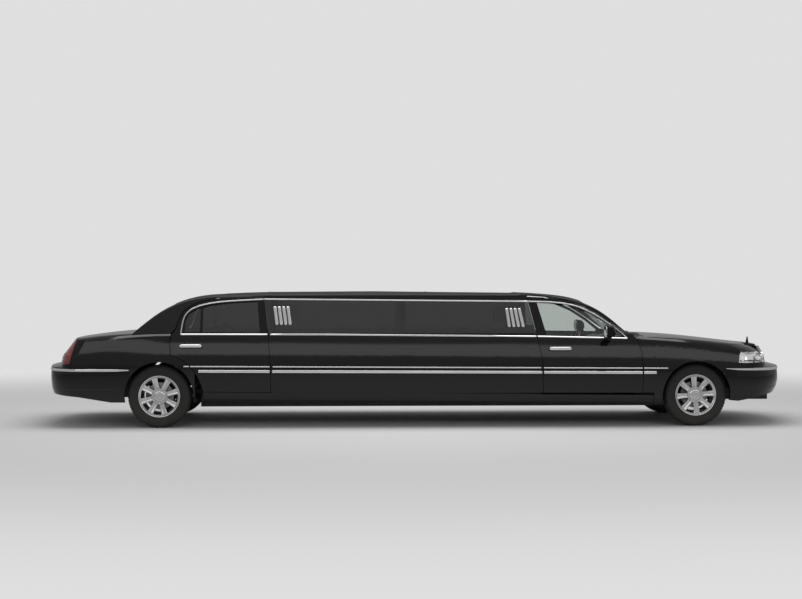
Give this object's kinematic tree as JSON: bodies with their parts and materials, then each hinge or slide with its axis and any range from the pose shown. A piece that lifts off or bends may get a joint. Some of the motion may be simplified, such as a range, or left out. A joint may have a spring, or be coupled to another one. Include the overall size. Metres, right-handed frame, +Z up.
{
  "type": "stretch limousine",
  "caption": "Long black stretch limousine with a padded roof, opening doors, hood and trunk, steered front wheels and dark side glass",
  "frame": {"origin": "on the ground, under the middle of the car's length and width", "axes": "+X forward, +Y to the car's left, +Z up"},
  "size_m": [8.5182, 2.39, 1.5187],
  "materials": {
    "cast_metal": "cast metal",
    "chrome": "polished bright metal",
    "clear_glass": "lightly tinted glass",
    "dark_glass": "dark tinted glass",
    "headlamp_glass": "clear lamp cover",
    "paint": "black clear-coated body paint",
    "seat_leather": "dark leather",
    "steel": "bare steel",
    "tail_lamp_red": "red lamp cover",
    "trim_plastic": "dark grained plastic",
    "tyre": "black rubber",
    "underbody": "matt black underbody coating",
    "vinyl": "padded black grained vinyl"
  },
  "bodies": {
    "root": {"back_glass": "dark_glass", "cowl": "paint", "dashboard": "trim_plastic", "driveline": "cast_metal", "engine": "cast_metal", "exhaust": "steel", "fender_left": "paint", "fender_right": "paint", "floor_frame": "underbody", "front_bumper": "paint", "front_seats": "seat_leather", "front_suspension": "underbody", "grille": "chrome", "headlamp_left": "headlamp_glass", "headlamp_right": "headlamp_glass", "long_window_left": "dark_glass", "long_window_right": "dark_glass", "partition": "trim_plastic", "quarter_left": "paint", "quarter_right": "paint", "rear_bumper": "paint", "rear_seats": "seat_leather", "roof": "vinyl", "side_wall_left": "paint", "side_wall_right": "paint", "tail_lamp_left": "tail_lamp_red", "tail_lamp_right": "tail_lamp_red", "windshield": "clear_glass", "windshield_frame": "paint"},
    "hood": {"hood": "paint"},
    "trunk_lid": {"trunk_lid": "paint"},
    "steering_wheel": {"steering_wheel": "trim_plastic"},
    "front_door_right": {"front_door_right": "paint", "front_door_glass_right": "clear_glass"},
    "rear_door_right": {"rear_door_right": "paint", "rear_door_glass_right": "dark_glass"},
    "knuckle_right": {"knuckle_right": "steel"},
    "wheel_front_right": {"rim_front_right": "chrome", "tyre_front_right": "tyre"},
    "wheel_rear_right": {"rim_rear_right": "chrome", "tyre_rear_right": "tyre"},
    "front_door_left": {"front_door_left": "paint", "front_door_glass_left": "clear_glass"},
    "rear_door_left": {"rear_door_left": "paint", "rear_door_glass_left": "dark_glass"},
    "knuckle_left": {"knuckle_left": "steel"},
    "wheel_front_left": {"rim_front_left": "chrome", "tyre_front_left": "tyre"},
    "wheel_rear_left": {"rim_rear_left": "chrome", "tyre_rear_left": "tyre"}
  },
  "joints": [
    {"name": "front_door_right", "type": "hinge", "parent": "root", "child": "front_door_right", "pos_m": [2.5025, -0.994, 0.7], "axis": [0, 0, 1], "range_deg": [0, 66]},
    {"name": "rear_door_right", "type": "hinge", "parent": "root", "child": "rear_door_right", "pos_m": [-1.6785, -0.994, 0.7], "axis": [0, 0, 1], "range_deg": [0, 66]},
    {"name": "front_door_left", "type": "hinge", "parent": "root", "child": "front_door_left", "pos_m": [2.5025, 0.994, 0.7], "axis": [0, 0, -1], "range_deg": [0, 66]},
    {"name": "rear_door_left", "type": "hinge", "parent": "root", "child": "rear_door_left", "pos_m": [-1.6785, 0.994, 0.7], "axis": [0, 0, -1], "range_deg": [0, 66]},
    {"name": "hood", "type": "hinge", "parent": "root", "child": "hood", "pos_m": [2.5595, 0, 1.023], "axis": [0, -1, 0], "range_deg": [0, 55]},
    {"name": "trunk_lid", "type": "hinge", "parent": "root", "child": "trunk_lid", "pos_m": [-3.2185, 0, 1.064], "axis": [0, 1, 0], "range_deg": [0, 70]},
    {"name": "steer_left", "type": "hinge", "parent": "root", "child": "knuckle_left", "pos_m": [3.1195, 0.715, 0.351], "axis": [0, 0, 1], "range_deg": [-34, 34]},
    {"name": "steer_right", "type": "hinge", "parent": "root", "child": "knuckle_right", "pos_m": [3.1195, -0.715, 0.351], "axis": [0, 0, 1], "range_deg": [-34, 34]},
    {"name": "steering_wheel", "type": "hinge", "parent": "root", "child": "steering_wheel", "pos_m": [1.9195, 0.38, 0.85], "axis": [-0.9, 0, 0.436], "range_deg": [-544, 544]},
    {"name": "wheel_front_left", "type": "hinge", "parent": "knuckle_left", "child": "wheel_front_left", "pos_m": [3.1195, 0.805, 0.351], "axis": [0, 1, 0], "continuous": true},
    {"name": "wheel_rear_left", "type": "hinge", "parent": "root", "child": "wheel_rear_left", "pos_m": [-2.9185, 0.83, 0.351], "axis": [0, 1, 0], "continuous": true},
    {"name": "wheel_front_right", "type": "hinge", "parent": "knuckle_right", "child": "wheel_front_right", "pos_m": [3.1195, -0.805, 0.351], "axis": [0, 1, 0], "continuous": true},
    {"name": "wheel_rear_right", "type": "hinge", "parent": "root", "child": "wheel_rear_right", "pos_m": [-2.9185, -0.83, 0.351], "axis": [0, 1, 0], "continuous": true}
  ],
  "couplings": [
    {"joint": "steer_right", "follows": "steer_left", "ratio": 1},
    {"joint": "steering_wheel", "follows": "steer_left", "ratio": 16}
  ]
}
